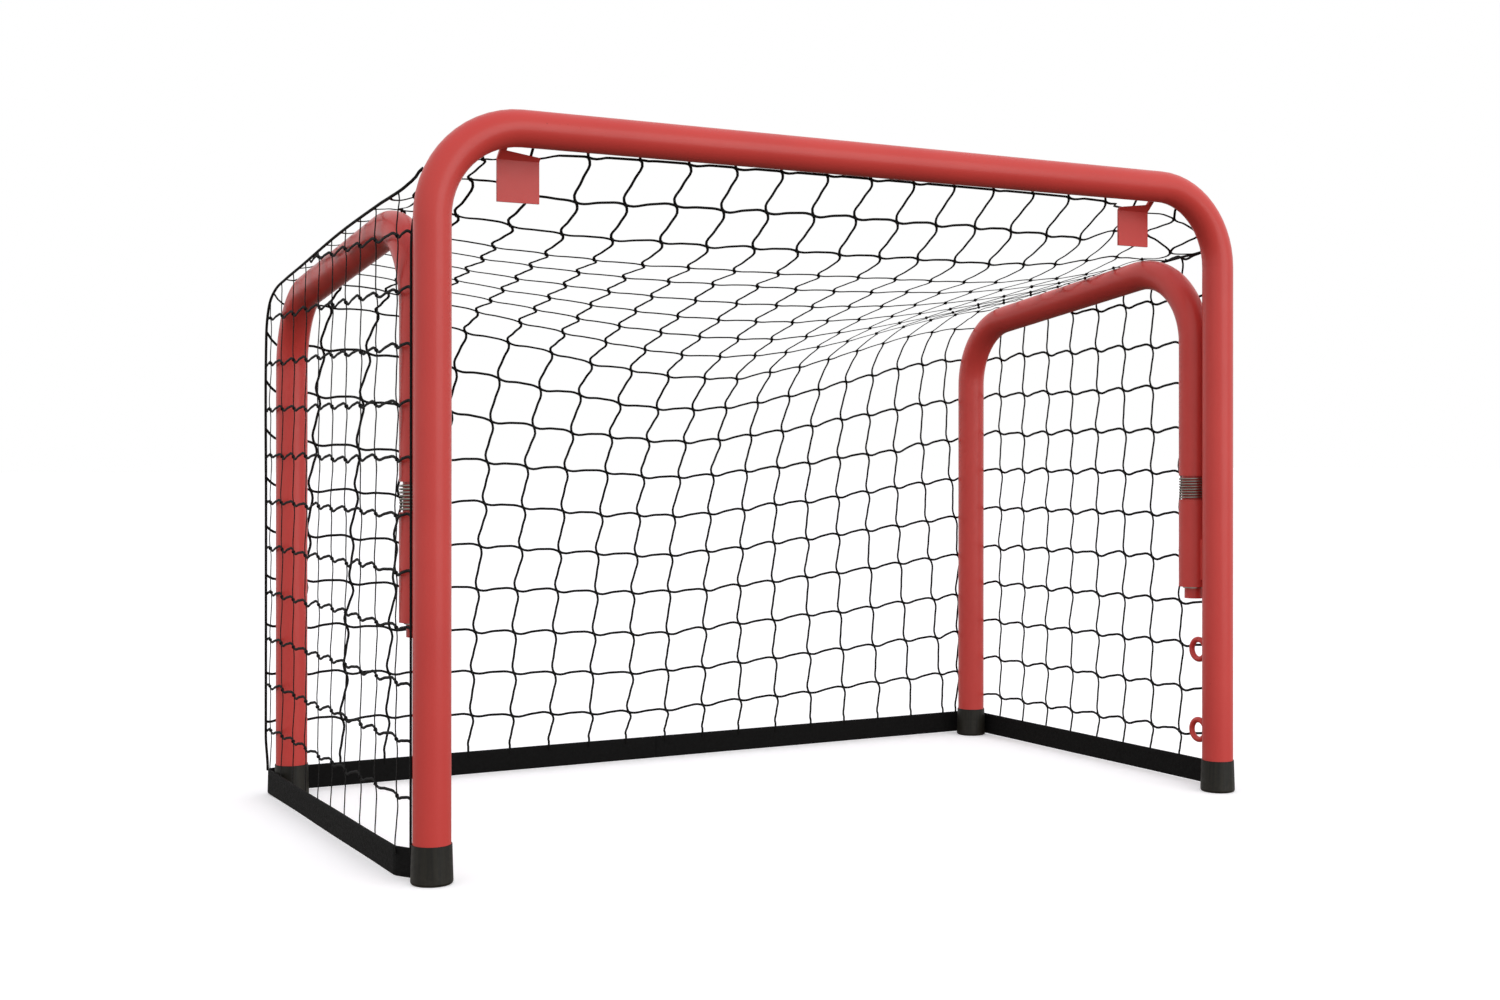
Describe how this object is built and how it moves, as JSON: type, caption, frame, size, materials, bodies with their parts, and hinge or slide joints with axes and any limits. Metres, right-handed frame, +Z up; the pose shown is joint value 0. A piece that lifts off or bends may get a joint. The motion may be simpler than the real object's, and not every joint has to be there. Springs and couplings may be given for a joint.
{
  "type": "hockey goal",
  "caption": "Folding training hockey goal: bent tube front frame, two sprung pivoting side frames, rubber feet, webbing strap and knotted net.",
  "frame": {"origin": "on the floor, under the centre of the goal's box", "axes": "+X along the crossbar to the goal's right as seen from the front, +Y from the mouth to the back, +Z up"},
  "size_m": [0.9064, 0.4889, 0.6495],
  "materials": {
    "frame_red": "satin powder coat",
    "foot_rubber": "satin moulded",
    "strap_webbing": "woven webbing",
    "net_twine": "knotted braided twine",
    "spring_steel": "drawn wire"
  },
  "bodies": {
    "front_frame": {"front_frame_tube": "frame_red", "left_pivot_sleeve": "frame_red", "left_sleeve_web": "frame_red", "left_upper_net_ring": "frame_red", "left_lower_net_ring": "frame_red", "left_stop_plate": "frame_red", "front_left_foot": "foot_rubber", "left_strap_end": "strap_webbing", "right_pivot_sleeve": "frame_red", "right_sleeve_web": "frame_red", "right_upper_net_ring": "frame_red", "right_lower_net_ring": "frame_red", "right_stop_plate": "frame_red", "front_right_foot": "foot_rubber", "right_strap_end": "strap_webbing", "rear_strap": "strap_webbing", "top_net": "net_twine", "back_net": "net_twine"},
    "left_swivel": {"left_pivot_spring": "spring_steel"},
    "left_side": {"left_side_frame_tube": "frame_red", "left_pivot_shaft": "frame_red", "left_retaining_clip": "spring_steel", "rear_left_foot": "foot_rubber", "left_side_strap": "strap_webbing", "left_side_net": "net_twine"},
    "right_swivel": {"right_pivot_spring": "spring_steel"},
    "right_side": {"right_side_frame_tube": "frame_red", "right_pivot_shaft": "frame_red", "right_retaining_clip": "spring_steel", "rear_right_foot": "foot_rubber", "right_side_strap": "strap_webbing", "right_side_net": "net_twine"}
  },
  "joints": [
    {"name": "left_fold", "type": "hinge", "parent": "front_frame", "child": "left_swivel", "pos_m": [-0.433, -0.19055, 0.26], "axis": [0, 0, -1], "range_deg": [0, 90]},
    {"name": "left_press", "type": "slide", "parent": "left_swivel", "child": "left_side", "axis": [0, 0, 1], "range_m": [-0.007, 0], "stiffness_N_per_m": 4000, "springref_m": 0.008, "deforming": ["left_pivot_spring"]},
    {"name": "right_fold", "type": "hinge", "parent": "front_frame", "child": "right_swivel", "pos_m": [0.433, -0.19055, 0.26], "axis": [0, 0, 1], "range_deg": [0, 90]},
    {"name": "right_press", "type": "slide", "parent": "right_swivel", "child": "right_side", "axis": [0, 0, 1], "range_m": [-0.007, 0], "stiffness_N_per_m": 4000, "springref_m": 0.008, "deforming": ["right_pivot_spring"]}
  ]
}
